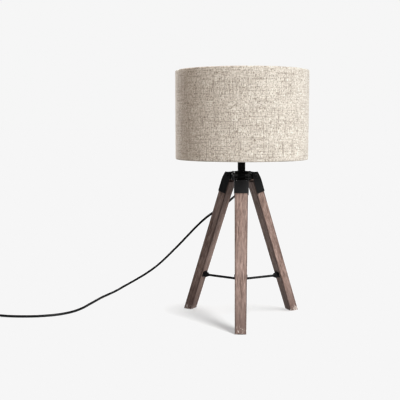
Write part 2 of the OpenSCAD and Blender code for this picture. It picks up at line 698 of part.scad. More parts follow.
strain_relief();
cord_lead();
cord_link();
cord_coil();
cord_end();
cord_tie();
switch_base();
switch_cover();
switch_rocker();
plug_body();
plug_pins();
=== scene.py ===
"""Tripod table lamp: the finish of its wood, metal, linen and mains lead, on a plain pale floor."""

import json
import math

import bmesh
import bpy
from bpy.props import FloatProperty, FloatVectorProperty, PointerProperty
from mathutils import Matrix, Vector


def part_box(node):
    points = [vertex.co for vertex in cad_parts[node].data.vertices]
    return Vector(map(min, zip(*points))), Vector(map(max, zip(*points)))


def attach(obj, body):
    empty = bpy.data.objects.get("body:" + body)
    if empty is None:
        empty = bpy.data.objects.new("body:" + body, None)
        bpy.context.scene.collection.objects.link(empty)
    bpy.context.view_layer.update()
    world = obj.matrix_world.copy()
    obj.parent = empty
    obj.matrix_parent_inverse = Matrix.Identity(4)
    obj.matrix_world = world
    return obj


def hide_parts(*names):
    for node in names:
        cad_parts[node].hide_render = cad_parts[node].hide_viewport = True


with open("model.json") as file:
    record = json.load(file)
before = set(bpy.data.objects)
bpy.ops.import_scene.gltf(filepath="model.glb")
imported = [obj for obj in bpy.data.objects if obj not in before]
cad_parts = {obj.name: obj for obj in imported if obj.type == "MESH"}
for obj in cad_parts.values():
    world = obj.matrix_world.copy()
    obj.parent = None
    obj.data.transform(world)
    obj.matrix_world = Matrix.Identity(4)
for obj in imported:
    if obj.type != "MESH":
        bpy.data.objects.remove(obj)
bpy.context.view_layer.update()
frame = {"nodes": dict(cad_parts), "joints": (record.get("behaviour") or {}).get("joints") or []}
nodes = frame["nodes"]

bl_info = {
    "name": "Tripod Table Lamp",
    "version": (1, 0, 0),
    "blender": (4, 5, 0),
    "location": "3D View > Sidebar > Lamp",
    "description": "Dresses a wooden tripod table lamp with a linen drum shade",
    "category": "Object",
}

MM = 0.001

# ---------------------------------------------------------------- sizes

# Given by the frame
PIVOTS = {joint["name"].split("_")[1]: Vector(joint["pos_m"])
          for joint in frame["joints"] if joint["name"].startswith("fold_")}
shade_low, shade_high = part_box("shade_fabric")
SHADE_R = shade_high.x
SHADE_Z, SHADE_TOP = shade_low.z, shade_high.z

# The same as in the part's source
SIDES = {"front": -90.0, "right": 30.0, "left": 150.0}  # azimuth of each leg, in degrees
SPOKES = [azimuth + 60.0 for azimuth in SIDES.values()]  # azimuth of each of the shade's spokes
SPLAY = math.radians(19)
LEG_TOP_W = 30.5 * MM
LEG_FOOT_W = 24.5 * MM
LEG_T = 20 * MM
LEG_TOP_GAP = 13 * MM  # from the pivot down to the wood
LEG_RUN = PIVOTS["front"].z / math.cos(SPLAY)  # from the pivot to the floor, along the leg

# The lead's route in millimetres: from the hub to the switch, on to the coil, and from there to the plug
LEAD = [(0, 0, 313), (0, 0, 308), (-0.5, 1, 302), (-1.5, 3.5, 295.5), (-3.5, 7.5, 290),
        (-6.5, 14, 285.5), (-10, 22, 282), (-15, 32, 278), (-20, 42, 273), (-26, 52, 266.5),
        (-33, 62, 259), (-42, 72, 250.5), (-52, 81, 242), (-73, 93, 228), (-92, 104, 212),
        (-107, 114, 197), (-120, 123, 183), (-137, 136, 164), (-153, 148, 146), (-170, 158, 128),
        (-186, 168, 111), (-203, 177, 94), (-222, 185, 77), (-246, 193, 59), (-274, 199, 41),
        (-303, 201, 24), (-328, 197, 10), (-346, 181, 4), (-356, 155, 3), (-364, 120, 3), (-373, 80, 3),
        (-382, 42, 3), (-398, 8, 3), (-424, -18, 3), (-460, -34, 3), (-500, -40, 3), (-540, -40, 3.5),
        (-566, -38, 5), (-590, -36, 6)]
LINK = [(-648, -36, 6), (-663, -36, 5), (-678, -36, 4), (-693, -36, 4)]
END = [(-693, 36, 10), (-680, 39.483, 9.25), (-670.483, 49, 7.75), (-667, 62, 7), (-667, 67, 7),
       (-667, 71.9, 7)]
ROUTE_STEPS = 4  # between one point and the next
COIL_CENTRE = (-693, 0)
COIL_LAYERS = [(36, 4), (30, 4), (30, 10), (36, 10)]  # radius and height of each turn's middle
COIL_TURNS = 3.5
COIL_STEPS = 24  # in each turn

# The strain relief on the lead
RELIEF_POINTS = 4  # it ends at this point of the route, counted from none at the hub
RELIEF_THICK, RELIEF_THIN = 6.5 * MM, 3.8 * MM  # its radius at the hub and at its end
RELIEF_RIBS = 6
RELIEF_GROOVE = 0.9 * MM
RELIEF_RIBBED = (0.2, 0.93)  # the share of its length that the grooves take

# The mesh of the linen cover
CLOTH_COLUMNS = 256  # round the drum
CLOTH_ROWS = 24  # up the wall
ROLL_STEPS = 12  # round each rim
TAIL_ROWS = (1.0, 0.6, 0.3)  # shares of the turned-in width at which the rows inside lie
WIRE_ROOM = 4.1 * MM  # from the liner in to the turned-in cloth, which goes round the wire
SLIT_HALF = 0.9  # degrees that the cloth is slit on either side of a spoke

# Edges under the coats and finishes
SHARP = math.radians(38)  # an edge that turns by more is rounded
WELD = 0.002 * MM  # points closer than this are one

FLOOR_HALF = 60.0

# Where each light comes from, its height above the floor and how wide it looks, all in degrees
LIGHTS = {
    "key_light": (-49.0, 27.0, 20.0),
    "top_light": (-30.0, 65.0, 40.0),
    "side_light": (-4.0, 20.0, 100.0),
    "rim_light": (122.0, 12.0, 20.0),
    "shade_fill": (-160.0, 58.0, 20.0),
    "inside_light": (-30.0, 65.0, 60.0),
    "table_fill": (0.0, 90.0, 60.0),
    "table_front": (-34.0, 62.0, 17.0),
    "table_sides": (-34.0, 60.0, 44.0),
}


# ---------------------------------------------------------------- settings

class LampView(bpy.types.PropertyGroup):
    """Where the camera stands and how the studio is lit"""

    lens: FloatProperty(name="Lens", default=65.96, unit="CAMERA",
                        description="Focal length in millimetres on a 36 mm sensor")
    distance: FloatProperty(name="Distance", default=1.669, unit="LENGTH",
                            description="From the camera to the lamp's axis")
    height: FloatProperty(name="Height", default=0.4405, unit="LENGTH",
                          description="Of the camera above the table")
    tilt: FloatProperty(name="Tilt", default=math.radians(5.786), subtype="ANGLE",
                        description="Angle that the camera looks down by")
    turn: FloatProperty(name="Turn", default=math.radians(3.241), subtype="ANGLE",
                        description="Angle that the camera turns to its left by")
    backdrop: FloatProperty(name="Backdrop", default=0.9216, min=0, max=1,
                            description="Linear brightness of the pale background")
    sky: FloatProperty(name="Sky", default=0.09, min=0, description="Even light from all round")
    key: FloatProperty(name="Key light", default=5.4, min=0,
                       description="Soft light on the lamp from the front right")
    top: FloatProperty(name="Top light", default=4.4, min=0,
                       description="Broad light from high on the right, which the shade lets through")
    side: FloatProperty(name="Side light", default=0.35, min=0,
                        description="Broad light on the lamp from the right")
    rim: FloatProperty(name="Rim light", default=3.6, min=0,
                       description="Narrow light on the lamp from behind on the left")
    inside: FloatProperty(name="Inside light", default=3.0, min=0,
                          description="Light on the bulb and the white pieces inside the shade")
    shade_fill: FloatProperty(name="Shade fill", default=1.95, min=0,
                              description="Warm light on the linen from high on the left")
    warm: FloatVectorProperty(name="Warm light", default=(1.0, 0.7, 0.5), subtype="COLOR",
                              description="Colour of the light on the linen from the left")
    table_front: FloatProperty(name="Table light, front", default=1.82, min=0,
                               description="Light on the floor that the front leg stands in the way of")
    table_sides: FloatProperty(name="Table light, sides", default=0.98, min=0,
                               description="Light on the floor that the other legs stand in the way of")
    table_fill: FloatProperty(name="Table fill", default=0.65, min=0,
                              description="Light on the floor that casts no shadow")


class LampLinen(bpy.types.PropertyGroup):
    """The cloth of the drum shade"""

    cloth: FloatVectorProperty(name="Cloth", default=(0.37, 0.336, 0.287), subtype="COLOR",
                               description="Colour of the linen")
    slub: FloatVectorProperty(name="Slub", default=(0.075, 0.05, 0.034), subtype="COLOR",
                              description="Colour of the thick dark threads")
    bright: FloatVectorProperty(name="Bright thread", default=(0.56, 0.54, 0.48), subtype="COLOR",
                                description="Colour of the pale threads")
    pitch: FloatProperty(name="Thread pitch", default=0.9 * MM, unit="LENGTH",
                         description="From one thread to the next")
    thick: FloatProperty(name="Thickness", default=0.5 * MM, unit="LENGTH", description="Of the cloth")
    overlap: FloatProperty(name="Overlap", default=14 * MM, unit="LENGTH",
                           description="Width of the glued seam at the back")
    turned_in: FloatProperty(name="Turned in", default=9 * MM, unit="LENGTH",
                             description="Cloth rolled over each wire ring to the inside")


class LampWood(bpy.types.PropertyGroup):
    """The washed hardwood of the legs"""

    mid: FloatVectorProperty(name="Wood", default=(0.141, 0.0893, 0.0714), subtype="COLOR",
                             description="Main colour of the wood")
    dark: FloatVectorProperty(name="Dark grain", default=(0.045, 0.026, 0.021), subtype="COLOR",
                              description="Colour of the dark streaks")
    wash: FloatVectorProperty(name="Wash", default=(0.222, 0.161, 0.139), subtype="COLOR",
                              description="Colour of the grey wash in the grain")
    edge_band: FloatProperty(name="Edge band", default=3.5 * MM, unit="LENGTH",
                             description="Width of the darker band along each edge")


class LampMetal(bpy.types.PropertyGroup):
    """The black powder coat and the small bright parts"""

    black: FloatVectorProperty(name="Black coat", default=(0.003, 0.003, 0.0032), subtype="COLOR",
                               description="Colour of the powder coat")
    steel: FloatVectorProperty(name="Zinc", default=(0.55, 0.56, 0.58), subtype="COLOR",
                               description="Colour of the zinc plated parts")
    brass: FloatVectorProperty(name="Brass", default=(0.75, 0.56, 0.26), subtype="COLOR",
                               description="Colour of the brass contacts")
    edge: FloatProperty(name="Edge radius", default=0.35 * MM, unit="LENGTH",
                        description="Rounding of the metal's edges under the coat")


class LampLead(bpy.types.PropertyGroup):
    """The mains lead with its switch and plug"""

    diameter: FloatProperty(name="Diameter", default=6 * MM, unit="LENGTH",
                            description="Of the round lead")
    length: FloatProperty(name="Length", default=1.79, unit="LENGTH",
                          description="From the hub to the plug")
    black: FloatVectorProperty(name="Sheath", default=(0.003, 0.003, 0.0032), subtype="COLOR",
                               description="Colour of the lead's sheath")


SETTINGS = {"lamp_view": LampView, "lamp_linen": LampLinen, "lamp_wood": LampWood,
            "lamp_metal": LampMetal, "lamp_lead": LampLead}


# ---------------------------------------------------------------- materials

def tinted(colour, share):
    """The colour, darker or paler by a share"""
    return tuple(min(1.0, share * c) for c in colour)


class Finish:
    """One material: its node tree, with short calls that add a node and join it up"""

    def __init__(self, name, **sockets):
        self.material = bpy.data.materials.new(name)
        self.material.use_nodes = True
        self.tree = self.material.node_tree
        self.shader = self.tree.nodes["Principled BSDF"]
        self.join(self.shader, sockets)

    def join(self, node, sockets):
        for name, value in sockets.items():
            socket = node.inputs[name if isinstance(name, int) else name.replace("_", " ")]
            if isinstance(value, bpy.types.NodeSocket):
                self.tree.links.new(value, socket)
            elif socket.type == "RGBA":
                socket.default_value = (*value, 1)
            else:
                socket.default_value = value

    def add(self, kind, sockets, output=0, **settings):
        node = self.tree.nodes.new("ShaderNode" + kind)
        for name, value in settings.items():
            setattr(node, name, value)
        self.join(node, sockets)
        return node.outputs[output]

    def place(self):
        """Position on the piece in metres, which moves with the piece"""
        return self.add("TexCoord", {}, "Object")

    def math(self, operation, *values):
        return self.add("Math", dict(enumerate(values)), operation=operation)

    def parts(self, vector):
        return self.add("SeparateXYZ", {"Vector": vector}).node.outputs[:3]

    def scaled(self, vector, x, y, z):
        return self.add("VectorMath", {0: vector, 1: (x, y, z)}, operation="MULTIPLY")

    def moved(self, vector, x, y, z):
        return self.add("VectorMath", {0: vector, 1: (x, y, z)}, operation="ADD")

    def noise(self, vector, scale=1.0, detail=2.0, roughness=0.5):
        return self.add("TexNoise", {"Vector": vector, "Scale": scale, "Detail": detail,
                                     "Roughness": roughness})

    def ramp(self, value, low, high, low_out=0.0, high_out=1.0):
        """Smooth step from low to high"""
        return self.add("MapRange", {"Value": value, "From_Min": low, "From_Max": high, "To_Min": low_out,
                                     "To_Max": high_out}, interpolation_type="SMOOTHSTEP")

    def mix(self, share, first, second):
        """The first colour, with a share of the second"""
        node = self.tree.nodes.new("ShaderNodeMix")
        node.data_type = "RGBA"
        self.join(node, {0: share, 6: first, 7: second})
        return node.outputs[2]

    def bump(self, height, distance, strength=1.0, **under):
        return self.add("Bump", {"Height": height, "Distance": distance, "Strength": strength, **under})

    def surface(self, **sockets):
        self.join(self.shader, sockets)
        return self.material


def powder_coat(metal, name="satin_powder_coat", gloss=0.1):
    """Black powder coat: fine orange peel over dark cast or pressed metal"""
    look = Finish(name, Specular_IOR_Level=gloss)
    place = look.place()
    peel = look.noise(place, 1500.0, 3.0, 0.55)
    cloud = look.ramp(look.noise(place, 60.0), 0.3, 0.7)
    return look.surface(Base_Color=look.mix(cloud, tuple(metal.black), tinted(metal.black, 1.45)),
                        Roughness=look.ramp(peel, 0.25, 0.75, 0.36, 0.52),
                        Normal=look.bump(peel, 0.05 * MM, 0.5))


def black_plastic(metal):
    """Moulded black plastic with a fine spark texture"""
    look = Finish("black_moulded_plastic", Base_Color=tinted(metal.black, 1.5), Specular_IOR_Level=0.2)
    grain = look.noise(look.place(), 2600.0)
    return look.surface(Normal=look.bump(grain, 0.03 * MM, 0.6),
                        Roughness=look.ramp(grain, 0.3, 0.7, 0.42, 0.6))


def lead_sheath(lead):
    """Smooth black sheath, faintly uneven from its stranded cores"""
    look = Finish("lead_sheath", Base_Color=tuple(lead.black), Specular_IOR_Level=0.08)
    waver = look.noise(look.place(), 180.0)
    return look.surface(Normal=look.bump(waver, 0.08 * MM, 0.5),
                        Roughness=look.ramp(waver, 0.3, 0.7, 0.36, 0.5))


def plated_steel(metal):
    """Dull zinc plate, slightly mottled"""
    look = Finish("zinc_plate", Metallic=1.0)
    grain = look.noise(look.place(), 700.0, 3.0, 0.6)
    return look.surface(Base_Color=look.mix(grain, tinted(metal.steel, 0.8), tinted(metal.steel, 1.15)),
                        Roughness=look.ramp(grain, 0.3, 0.7, 0.22, 0.4),
                        Normal=look.bump(grain, 0.01 * MM, 0.4))


def threaded(name, colour, pitch, metallic, rough):
    """A screw thread cut in the surface, about the lamp's axis"""
    look = Finish(name, Metallic=metallic, Roughness=rough, Base_Color=colour)
    x, y, z = look.parts(look.place())
    turn = look.math("DIVIDE", look.math("ARCTAN2", y, x), 2 * math.pi)
    crest = look.math("PINGPONG", look.math("ADD", look.math("DIVIDE", z, pitch), turn), 0.5)
    return look.surface(Normal=look.bump(crest, pitch * 0.6))


def stamped_brass(metal):
    """Bare brass with a little tarnish"""
    look = Finish("stamped_brass", Metallic=1.0)
    tarnish = look.noise(look.place(), 260.0, 3.0)
    return look.surface(Base_Color=look.mix(tarnish, tinted(metal.brass, 0.7), tuple(metal.brass)),
                        Roughness=look.ramp(tarnish, 0.3, 0.7, 0.2, 0.42))


def opal_glass():
    """White glass with a gloss, faintly cloudy"""
    look = Finish("opal_glass", Roughness=0.12, Subsurface_Weight=0.25,
                  Subsurface_Radius=(0.006, 0.006, 0.006), Coat_Weight=0.4, Coat_Roughness=0.06)
    cloud = look.noise(look.place(), 40.0)
    return look.surface(Base_Color=look.mix(cloud, (0.84, 0.84, 0.81), (0.91, 0.91, 0.88)))


def white_coat():
    """White dip coat on the shade's wires and fitter plate"""
    look = Finish("white_wire_coat", Roughness=0.38)
    dip = look.noise(look.place(), 350.0)
    return look.surface(Base_Color=look.mix(dip, (0.74, 0.73, 0.69), (0.84, 0.83, 0.80)),
                        Normal=look.bump(dip, 0.1 * MM, 0.4))


def styrene_liner():
    """White laminate inside the shade, with the cloth's weave faint in it"""
    look = Finish("shade_liner_laminate", Roughness=0.45)
    place = look.place()
    weave = look.noise(look.scaled(place, 500.0, 500.0, 900.0))
    cloud = look.noise(place, 14.0)
    return look.surface(Base_Color=look.mix(cloud, (0.80, 0.775, 0.72), (0.86, 0.84, 0.79)),
                        Normal=look.bump(weave, 0.05 * MM, 0.5))


def pressed_felt():
    """Dark felt with short matted fibres"""
    look = Finish("pressed_felt", Roughness=0.95, Sheen_Weight=0.4, Sheen_Roughness=0.6)
    fibre = look.noise(look.place(), 2200.0, 4.0, 0.7)
    return look.surface(Base_Color=look.mix(fibre, (0.02, 0.018, 0.017), (0.09, 0.08, 0.072)),
                        Normal=look.bump(fibre, 0.4 * MM, 0.8))


def porcelain():
    """Glazed white porcelain"""
    look = Finish("lampholder_porcelain", Roughness=0.25, Coat_Weight=0.5, Coat_Roughness=0.1)
    cloud = look.noise(look.place(), 120.0)
    return look.surface(Base_Color=look.mix(cloud, (0.80, 0.79, 0.74), (0.87, 0.86, 0.82)))


def linen_cloth(linen):
    """Plain weave with slubs both ways, laid out flat round the drum: the way round it, and up"""
    look = Finish("slubbed_linen", Roughness=0.9, Sheen_Weight=0.12, Sheen_Roughness=0.5)
    x, y, z = look.parts(look.place())
    round_it = look.math("MULTIPLY", look.math("ARCTAN2", x, look.math("MULTIPLY", y, -1.0)), SHADE_R)
    flat = look.add("CombineXYZ", {"X": round_it, "Y": z, "Z": 0.0})
    cloth, slub, bright = tuple(linen.cloth), tuple(linen.slub), tuple(linen.bright)

    def spread(width, height):
        """The flat cloth, measured in a number of millimetres across and up"""
        return look.scaled(flat, 1 / (width * MM), 1 / (height * MM), 0.0)

    def threads(across, along, seed):
        """Noise drawn out along the upright threads, then along those that run round, in millimetres"""
        return [look.noise(look.moved(spread(width, height), seed, 2 * seed, 0.0), 1.0, 2.0, 0.6)
                for width, height in ((across, along), (along, across))]

    fine = threads(1.0, 14.0, 3.0)
    pale = threads(1.5, 26.0, 77.0)
    slubs = threads(1.5, 6.0, 17.0)
    long_slubs = threads(1.6, 70.0, 41.0)
    speck = look.noise(spread(2.2, 2.2), 1.0, 2.0, 0.6)
    cloud = look.noise(look.scaled(flat, 34.0, 42.0, 0.0), 1.0, 3.0)

    up, level = [look.mix(look.ramp(noise, 0.3, 0.7), tinted(cloth, 0.66), tinted(cloth, 1.28))
                 for noise in fine]
    tone = look.mix(0.5, up, level)
    tone = look.mix(look.ramp(speck, 0.52, 0.38, 0.0, 0.45), tone, tinted(cloth, 0.5))
    for noise, low, high, share, colour in ((pale[0], 0.5, 0.66, 0.55, bright),
                                            (pale[1], 0.5, 0.66, 0.5, bright),
                                            (slubs[0], 0.53, 0.64, 0.9, slub),
                                            (slubs[1], 0.54, 0.66, 0.8, slub),
                                            (long_slubs[0], 0.54, 0.68, 0.75, slub),
                                            (long_slubs[1], 0.54, 0.68, 0.6, slub)):
        tone = look.mix(look.ramp(noise, low, high, 0.0, share), tone, colour)
    tone = look.mix(look.ramp(cloud, 0.3, 0.7, 0.0, 0.22), tone, tinted(cloth, 0.8))

    across = look.math("SINE", look.math("MULTIPLY", round_it, 2 * math.pi / linen.pitch))
    along = look.math("SINE", look.math("MULTIPLY", z, 2 * math.pi / linen.pitch))
    weave = look.bump(look.math("MULTIPLY", across, along), 0.12 * MM, 0.5)
    rise = look.math("ADD", look.math("MAXIMUM", *slubs),
                     look.math("MULTIPLY", look.math("ADD", *fine), 0.6))
    return look.surface(Base_Color=tone, Normal=look.bump(rise, 0.6 * MM, 0.9, Normal=weave))


def leg_wood(wood, side):
    """Grain that runs along one leg, open pores, grey wash, darker edges and a foot worn pale in specks"""
    look = Finish("washed_wood_" + side, Specular_IOR_Level=0.22)
    local = look.add("Mapping", {"Vector": look.place(), "Location": PIVOTS[side],
                                 "Rotation": (0.0, -SPLAY, math.radians(SIDES[side]))},
                     vector_type="TEXTURE")
    own = look.moved(local, 0.0, 0.0, SIDES[side] / 100)
    x, y, z = look.parts(local)
    sway = look.noise(look.scaled(own, 6.0, 6.0, 5.0), 1.0, 1.0)
    bend = look.scaled(look.add("CombineXYZ", {"X": sway, "Y": sway, "Z": 0.0}), 0.006, 0.006, 0.0)
    bent = look.add("VectorMath", {0: own, 1: bend}, operation="ADD")
    bands = look.noise(look.scaled(bent, 150.0, 150.0, 5.0), 1.0, 3.0, 0.6)
    fleck = look.noise(look.scaled(bent, 700.0, 700.0, 45.0), 1.0, 3.0, 0.7)
    fibre = look.noise(look.scaled(bent, 900.0, 900.0, 22.0), 1.0, 3.0, 0.65)
    pore = look.noise(look.scaled(bent, 1500.0, 1500.0, 75.0))
    cloud = look.noise(look.scaled(own, 40.0, 40.0, 12.0), 1.0, 3.0)
    mid, dark, wash = tuple(wood.mid), tuple(wood.dark), tuple(wood.wash)

    tone = look.mix(look.ramp(bands, 0.32, 0.68, 0.0, 0.45), mid, dark)
    tone = look.mix(look.ramp(fleck, 0.5, 0.63, 0.0, 0.9), tone, tinted(dark, 0.7))
    tone = look.mix(look.ramp(fleck, 0.5, 0.37, 0.0, 0.8), tone, tinted(wash, 1.2))
    tone = look.mix(look.ramp(fibre, 0.42, 0.68, 0.0, 0.5), tone, tinted(mid, 0.6))
    tone = look.mix(look.ramp(cloud, 0.4, 0.7, 0.0, 0.45), tone, wash)
    tone = look.mix(look.ramp(pore, 0.6, 0.72, 0.0, 0.7), tone, tinted(dark, 0.6))

    # The leg narrows evenly from its top to its foot, and the stain is darker in a band on its edges
    half_width = look.add("MapRange", {"Value": z, "From_Min": -LEG_TOP_GAP, "From_Max": -LEG_RUN,
                                       "To_Min": LEG_TOP_W / 2, "To_Max": LEG_FOOT_W / 2})
    inset = [look.math("SUBTRACT", half, look.math("ABSOLUTE", at))
             for half, at in ((half_width, y), (LEG_T / 2, x))]
    rub = look.noise(look.scaled(own, 300.0, 300.0, 120.0), 1.0, 3.0, 0.6)
    edge = look.ramp(look.math("MAXIMUM", *inset), wood.edge_band, 0.2 * MM)
    edge = look.math("MULTIPLY", edge, look.ramp(rub, 0.3, 0.6, 0.6, 1.0))
    tone = look.mix(edge, tone, tinted(dark, 0.8))

    # Towards the floor the wood is darker, and at the very foot it is worn off in specks
    floor = -LEG_RUN
    tone = look.mix(look.ramp(z, floor + 110 * MM, floor + 10 * MM, 0.0, 0.6), tone, dark)
    foot = look.ramp(z, floor + 17 * MM, floor + 3 * MM)
    bare = (0.62, 0.57, 0.52)
    tone = look.mix(look.math("MULTIPLY", foot, look.ramp(rub, 0.56, 0.66, 0.0, 0.85)), tone, bare)
    height = look.math("SUBTRACT", look.math("MULTIPLY", fibre, 0.6), look.ramp(pore, 0.58, 0.72))
    return look.surface(Base_Color=tone, Roughness=look.ramp(bands, 0.3, 0.7, 0.6, 0.78),
                        Normal=look.bump(height, 0.25 * MM, 0.7))


# ---------------------------------------------------------------- shapes

def through(a, b, c, d, t):
    """Point on a smooth curve through four neighbours"""
    return 0.5 * (2 * b + (c - a) * t + (2 * a - 5 * b + 4 * c - d) * t ** 2
                  + (3 * b - a - 3 * c + d) * t ** 3)


def smooth(route):
    """The route's points in metres, with smooth steps between them"""
    points = [Vector(p) * MM for p in route]
    last = len(points) - 1
    line = []
    for i in range(last):
        nearest = points[max(i - 1, 0)], points[i], points[i + 1], points[min(i + 2, last)]
        line += [through(*nearest, step / ROUTE_STEPS) for step in range(ROUTE_STEPS)]
    return line + [points[last]]


def coil_line():
    """Turns that lie beside and on each other, each easing into the next over a sixth of a turn"""
    line = []
    for i in range(int(COIL_TURNS * COIL_STEPS) + 1):
        turn = i / COIL_STEPS
        ease = max(0.0, (turn % 1 - 5 / 6) * 6)
        ease = ease * ease * (3 - 2 * ease)
        here, after = COIL_LAYERS[int(turn)], COIL_LAYERS[min(int(turn) + 1, len(COIL_LAYERS) - 1)]
        radius, height = [a + (b - a) * ease for a, b in zip(here, after)]
        angle = -math.pi / 2 - 2 * math.pi * turn
        x = COIL_CENTRE[0] + radius * math.cos(angle)
        y = COIL_CENTRE[1] + radius * math.sin(angle)
        line.append(Vector((x, y, height)) * MM)
    return line


def mesh_piece(name, points, faces, material, body, smooth_angle=40):
    """A mesh piece with outward faces that moves with a body of the frame"""
    mesh = bpy.data.meshes.new(name)
    mesh.from_pydata([tuple(p) for p in points], [], faces)
    work = bmesh.new()
    work.from_mesh(mesh)
    bmesh.ops.recalc_face_normals(work, faces=work.faces)
    work.to_mesh(mesh)
    work.free()
    mesh.shade_smooth()
    mesh.set_sharp_from_angle(angle=math.radians(smooth_angle))
    mesh.materials.append(material)
    piece = bpy.data.objects.new(name, mesh)
    bpy.context.scene.collection.objects.link(piece)
    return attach(piece, body)


def ring_faces(rings, around):
    """Faces between rings of points, each ring with the same number of points, and over both ends"""
    faces = [(r * around + k, r * around + (k + 1) % around, (r + 1) * around + (k + 1) % around,
              (r + 1) * around + k) for r in range(rings - 1) for k in range(around)]
    return faces + [tuple(range(around))[::-1], tuple((rings - 1) * around + k for k in range(around))]


def swept(name, line, radii, material, body):
    """A round piece that follows a line, with its own radius at each point"""
    around = 28
    points = []
    up = Vector((0, 0, 1)) if abs((line[1] - line[0]).normalized().z) < 0.9 else Vector((1, 0, 0))
    for i, (centre, radius) in enumerate(zip(line, radii)):
        heading = (line[min(i + 1, len(line) - 1)] - line[max(i - 1, 0)]).normalized()
        side = heading.cross(up).normalized()
        up = side.cross(heading)
        points += [centre + radius * (math.cos(a) * side + math.sin(a) * up)
                   for a in (2 * math.pi * k / around for k in range(around))]
    return mesh_piece(name, points, ring_faces(len(line), around), material, body)


def evenly(line, count):
    """The same line with evenly spaced points"""
    reach = [0.0]
    for a, b in zip(line, line[1:]):
        reach.append(reach[-1] + (b - a).length)
    out, i = [], 0
    for k in range(count):
        goal = reach[-1] * k / (count - 1)
        while i < len(line) - 2 and reach[i + 1] < goal:
            i += 1
        share = (goal - reach[i]) / (reach[i + 1] - reach[i])
        out.append(line[i].lerp(line[i + 1], share))
    return out


def ribbed_relief(name, line, material, body):
    """A tapered strain relief with a smooth collar and flexing grooves cut round it"""
    count = 12 * RELIEF_RIBS
    ribbed_from, ribbed_to = RELIEF_RIBBED
    radii = []
    for k in range(count):
        share = k / (count - 1)
        groove = 0.0
        if ribbed_from < share < ribbed_to:
            groove = RELIEF_GROOVE * max(0.0, math.sin(2 * math.pi * RELIEF_RIBS * share - 0.5 * math.pi))
        radii.append(RELIEF_THICK + (RELIEF_THIN - RELIEF_THICK) * share - groove * (1 - 0.5 * share))
    return swept(name, evenly(line, count), radii, material, body)


def dress(names, material, edge=0.0):
    """Gives frame nodes their material, and rounds their edges by a small radius"""
    for name in names:
        piece = nodes[name]
        piece.data.materials.clear()
        piece.data.materials.append(material)
        if "custom_normal" in piece.data.attributes:
            piece.data.attributes.remove(piece.data.attributes["custom_normal"])
        piece.data.shade_smooth()
        weld = piece.modifiers.new("weld", "WELD")
        weld.merge_threshold = WELD
        if edge:
            bevel = piece.modifiers.new("rounded_edges", "BEVEL")
            bevel.width = edge
            bevel.segments = 2
            bevel.limit_method = "ANGLE"
            bevel.angle_limit = SHARP
            bevel.harden_normals = True
            bevel.use_clamp_overlap = True


def per_side(*stems):
    """The nodes' names, each stem once for each leg"""
    return [f"{stem}_{side}" for stem in stems for side in SIDES]


# ---------------------------------------------------------------- pieces

class LAMP_OT_stage(bpy.types.Operator):
    """Camera, pale surroundings and the plain floor"""
    bl_idname = "lamp.stage"
    bl_label = "Stage"

    def execute(self, context):
        view = context.scene.lamp_view
        camera = bpy.data.objects.new("camera", bpy.data.cameras.new("camera"))
        camera.data.sensor_width = 36.0
        camera.data.lens = view.lens
        camera.data.clip_start, camera.data.clip_end = 0.05, 200.0
        camera.location = (0.0, -view.distance, view.height)
        camera.rotation_euler = (math.pi / 2 - view.tilt, 0.0, view.turn)
        context.scene.collection.objects.link(camera)
        context.scene.camera = camera

        self.pale_world(context.scene, view)
        self.floor(context.scene)
        self.tone(context.scene, view.backdrop)
        return {"FINISHED"}

    def pale_world(self, scene, view):
        """Even light from all round, with the backdrop's own brightness where the camera sees it"""
        world = bpy.data.worlds.new("pale_studio")
        world.use_nodes = True
        tree = world.node_tree
        seen = tree.nodes.new("ShaderNodeBackground")
        seen.inputs["Color"].default_value = (view.backdrop,) * 3 + (1,)
        light = tree.nodes["Background"]
        light.inputs["Color"].default_value = (1, 1, 1, 1)
        light.inputs["Strength"].default_value = view.sky
        pick = tree.nodes.new("ShaderNodeMixShader")
        tree.links.new(tree.nodes.new("ShaderNodeLightPath").outputs["Is Camera Ray"], pick.inputs[0])
        tree.links.new(light.outputs[0], pick.inputs[1])
        tree.links.new(seen.outputs[0], pick.inputs[2])
        tree.links.new(pick.outputs[0], tree.nodes["World Output"].inputs["Surface"])
        scene.world = world

    def floor(self, scene):
        look = Finish("pale_floor", Base_Color=(0.93, 0.93, 0.93), Roughness=1.0, Specular_IOR_Level=0.0)
        mesh = bpy.data.meshes.new("floor")
        corners = [(x * FLOOR_HALF, y * FLOOR_HALF, 0) for x, y in ((-1, -1), (1, -1), (1, 1), (-1, 1))]
        mesh.from_pydata(corners, [], [(0, 1, 2, 3)])
        mesh.materials.append(look.material)
        floor = bpy.data.objects.new("floor", mesh)
        scene.collection.objects.link(floor)

    def tone(self, scene, backdrop):
        """Plain colours, with the floor's light held at the backdrop's brightness"""
        settings = scene.view_settings
        settings.view_transform = "Standard"
        settings.look = "None"
        settings.use_curve_mapping = True
        all_channels = settings.curve_mapping.curves[3]
        knee = 0.9 * backdrop
        all_channels.points[0].location = (0.0, 0.0)
        all_channels.points[1].location = (1.0, backdrop)
        for at in (knee, backdrop):
            all_channels.points.new(at, at)
        for point in all_channels.points:
            point.handle_type = "VECTOR"
        settings.curve_mapping.update()


